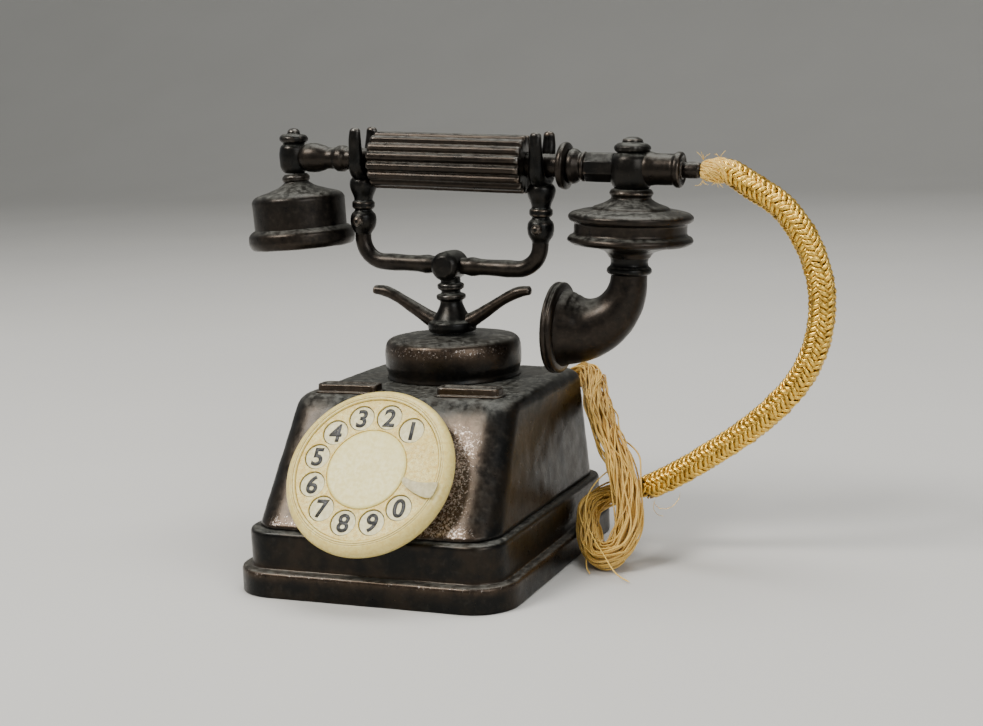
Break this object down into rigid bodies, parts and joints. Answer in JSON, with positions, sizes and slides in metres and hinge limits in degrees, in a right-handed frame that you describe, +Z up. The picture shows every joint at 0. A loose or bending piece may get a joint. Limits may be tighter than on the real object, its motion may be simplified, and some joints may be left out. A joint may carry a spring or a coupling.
{
  "type": "miniature cradle telephone with rotary dial",
  "caption": "Small cast cradle telephone with a sloped case, rotary dial, forked yoke, ribbed handset with horn mouthpiece, and a braided cord.",
  "frame": {"origin": "centre of the base's underside, on the surface it stands on", "axes": "+X to the right as seen from the dial side, along the handset; -Y towards the dial; +Z up"},
  "size_m": [0.1053, 0.0662, 0.0741],
  "materials": {
    "cast_bronze": "dark bronzed casting, rubbed bright on edges",
    "dial_plastic": "aged ivory",
    "black_plastic": "matt",
    "steel": "plain",
    "gold_braid": "metallic braid",
    "thread": "loose yellow thread"
  },
  "bodies": {
    "base": {"bottom_plate": "steel", "bottom_screw_1": "steel", "bottom_screw_2": "steel", "bottom_screw_3": "steel", "bottom_screw_4": "steel", "case_shell": "cast_bronze", "column": "cast_bronze", "column_nut": "steel", "cord_gland": "cast_bronze", "dial_seat": "black_plastic", "drum": "cast_bronze", "finger_stop": "dial_plastic", "horn_left": "cast_bronze", "horn_right": "cast_bronze", "number_plate": "dial_plastic", "plinth": "cast_bronze", "return_spring": "steel", "thread_core": "thread", "top_pad_left": "cast_bronze", "top_pad_right": "cast_bronze"},
    "dial": {"finger_wheel": "dial_plastic", "dial_cap": "dial_plastic", "dial_spindle": "steel", "spindle_clip": "steel"},
    "yoke": {"yoke_rod": "cast_bronze", "post_left": "cast_bronze", "post_right": "cast_bronze", "post_button_left": "cast_bronze", "post_button_right": "cast_bronze", "fork_left": "cast_bronze", "fork_right": "cast_bronze"},
    "handset": {"grip": "cast_bronze", "handset_shaft": "cast_bronze", "shaft_collar": "cast_bronze", "shaft_sleeve": "cast_bronze", "faceted_shaft": "cast_bronze", "receiver_knuckle": "cast_bronze", "receiver_finial": "cast_bronze", "receiver_cup": "cast_bronze", "receiver_cap": "cast_bronze", "receiver_diaphragm": "black_plastic", "transmitter_knuckle": "cast_bronze", "transmitter_finial": "cast_bronze", "transmitter_capsule": "cast_bronze", "mouthpiece_collar": "cast_bronze", "mouthpiece_horn": "cast_bronze", "mouthpiece_rim": "cast_bronze", "cord_tube": "cast_bronze", "cord_nub": "cast_bronze", "braided_cord": "gold_braid"}
  },
  "joints": [
    {"name": "dial_turn", "type": "hinge", "parent": "base", "child": "dial", "pos_m": [0, -0.02118, 0.01799], "axis": [0, -0.7986, 0.6018], "range_deg": [-312, 0], "stiffness_Nm_per_rad": 0.00002, "springref_deg": 17.19},
    {"name": "yoke_rock", "type": "hinge", "parent": "base", "child": "yoke", "pos_m": [0, 0.011, 0.0494], "axis": [0, 1, 0], "range_deg": [-5, 0]},
    {"name": "handset_lift", "type": "slide", "parent": "yoke", "child": "handset", "axis": [0.0523, 0, 0.9986], "range_m": [0, 0.045]}
  ]
}
